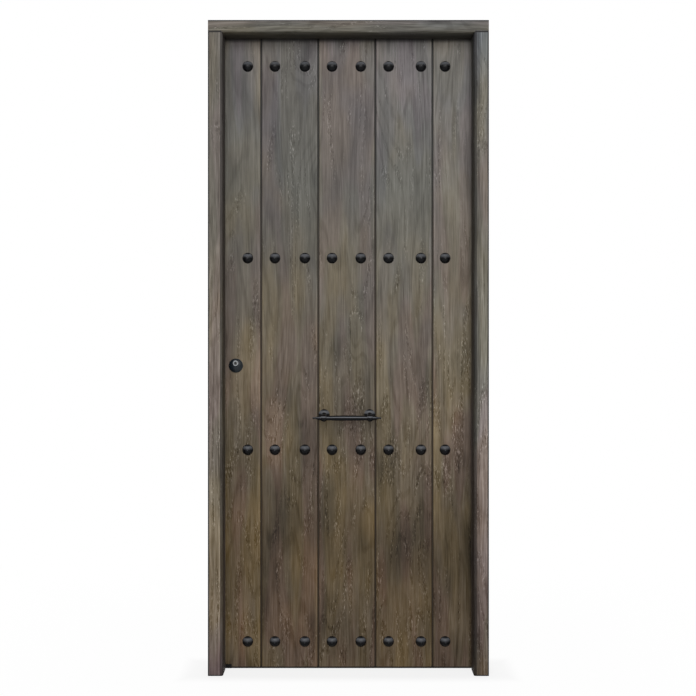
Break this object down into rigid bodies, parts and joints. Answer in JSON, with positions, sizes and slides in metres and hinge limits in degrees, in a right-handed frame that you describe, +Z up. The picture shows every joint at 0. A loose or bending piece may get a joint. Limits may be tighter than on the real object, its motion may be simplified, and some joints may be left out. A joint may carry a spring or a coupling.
{
  "type": "exterior_door",
  "caption": "Boarded exterior door in a rebated timber frame, with domed iron studs, a forged pull handle and a key cylinder, hung to open inwards",
  "frame": {"origin": "where the wall face of the hinge jamb meets the floor, at mid depth of the frame", "axes": "+X to the right seen from outside, out of the hinge jamb's wall face; +Y inwards, through the door; +Z up"},
  "size_m": [0.9, 0.163, 2.1],
  "materials": {
    "frame_timber": "grey-brown stain, satin",
    "leaf_boards": "grey-brown stain over open grain, satin",
    "core": "raw softwood core, hidden",
    "black_iron": "black, satin",
    "cylinder_nickel": "satin nickel plate",
    "lock_steel": "brushed",
    "seal": "matt black"
  },
  "bodies": {
    "frame": {"head": "frame_timber", "lock_jamb": "frame_timber", "hinge_jamb": "frame_timber", "weather_seal": "seal", "strike_plate": "lock_steel", "bottom_hinge_frame_flap": "black_iron", "bottom_hinge_pin": "black_iron", "middle_hinge_frame_flap": "black_iron", "middle_hinge_pin": "black_iron", "top_hinge_frame_flap": "black_iron", "top_hinge_pin": "black_iron"},
    "leaf": {"lock_stile": "leaf_boards", "hinge_stile": "leaf_boards", "top_rail": "leaf_boards", "bottom_rail": "leaf_boards", "core_panel": "core", "lock_faceplate": "lock_steel", "lock_bolts": "lock_steel", "outer_escutcheon": "black_iron", "inner_escutcheon": "black_iron", "key_cylinder": "cylinder_nickel", "lever_rose": "black_iron", "lever": "black_iron", "pull_handle": "black_iron", "outer_board_1": "leaf_boards", "inner_board_1": "leaf_boards", "outer_board_2": "leaf_boards", "inner_board_2": "leaf_boards", "outer_board_3": "leaf_boards", "inner_board_3": "leaf_boards", "outer_board_4": "leaf_boards", "inner_board_4": "leaf_boards", "outer_board_5": "leaf_boards", "inner_board_5": "leaf_boards", "stud_row_1": "black_iron", "stud_row_2": "black_iron", "stud_row_3": "black_iron", "stud_row_4": "black_iron", "bottom_hinge_leaf_flap": "black_iron", "middle_hinge_leaf_flap": "black_iron", "top_hinge_leaf_flap": "black_iron"},
    "plug": {"key_plug": "cylinder_nickel"}
  },
  "joints": [
    {"name": "leaf_swing", "type": "hinge", "parent": "frame", "child": "leaf", "pos_m": [-0.0355, 0.0591, 1], "axis": [0, 0, -1], "range_deg": [0, 100]},
    {"name": "key_plug_turn", "type": "hinge", "parent": "leaf", "child": "plug", "pos_m": [-0.8185, 0, 1], "axis": [0, 1, 0], "continuous": true}
  ]
}
